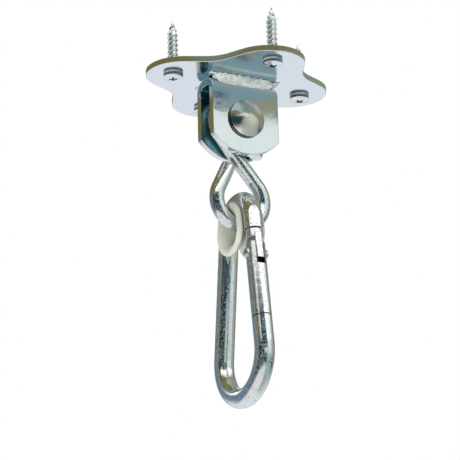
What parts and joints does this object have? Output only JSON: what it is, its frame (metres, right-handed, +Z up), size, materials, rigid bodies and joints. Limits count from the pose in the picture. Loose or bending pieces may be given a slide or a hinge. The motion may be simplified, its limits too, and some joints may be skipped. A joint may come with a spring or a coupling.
{
  "type": "swivel swing hook",
  "caption": "Swing hanger: a lobed screw-on plate with a welded clevis, a swinging S link on a rivet, and a snap hook with a sprung gate in a nylon thimble.",
  "frame": {"origin": "middle of the plate's back face, the face that lies against the beam", "axes": "+Z up out of the back face into the beam, +X along the bracket's width, +Y along the rivet away from its round head"},
  "size_m": [0.08, 0.08, 0.1589],
  "materials": {
    "zinc_sheet": "bright bluish zinc plating on sheet and strip",
    "zinc_rod": "glossy zinc plating on drawn rod",
    "zinc_screw": "bright zinc plating",
    "polished_steel": "polished rivet head",
    "weld_bead": "frosted plated weld metal",
    "pin_steel": "plain turned steel",
    "spring_steel": "bright spring wire",
    "nylon": "translucent natural nylon"
  },
  "bodies": {
    "bracket": {"base_plate": "zinc_sheet", "u_bracket": "zinc_sheet", "front_weld": "weld_bead", "rear_weld": "weld_bead", "pivot_rivet": "polished_steel", "pivot_bush": "nylon", "mounting_screws": "zinc_screw"},
    "link": {"swing_link": "zinc_rod"},
    "hook": {"hook_frame": "zinc_rod", "thimble": "nylon", "gate_pin": "pin_steel"},
    "gate": {"gate": "zinc_rod", "gate_spring": "spring_steel"},
    "plunger": {"gate_plunger": "pin_steel"}
  },
  "joints": [
    {"name": "link_swing", "type": "hinge", "parent": "bracket", "child": "link", "pos_m": [0, 0, -0.0196], "axis": [0, 1, 0], "range_deg": [-60, 60]},
    {"name": "hook_swing", "type": "hinge", "parent": "link", "child": "hook", "pos_m": [0, 0, -0.06295], "axis": [1, 0, 0], "range_deg": [-75, 75]},
    {"name": "gate_swing", "type": "hinge", "parent": "hook", "child": "gate", "pos_m": [0, -0.01159, -0.0779], "axis": [1, 0, 0], "range_deg": [0, 28], "stiffness_Nm_per_rad": 0.12, "springref_deg": -22.92},
    {"name": "plunger_slide", "type": "slide", "parent": "gate", "child": "plunger", "axis": [0, -0.1266, -0.992], "range_m": [0, 0.00125], "deforming": ["gate_spring"]}
  ],
  "couplings": [
    {"joint": "plunger_slide", "follows": "gate_swing", "m_per_rad": 0.0025}
  ]
}
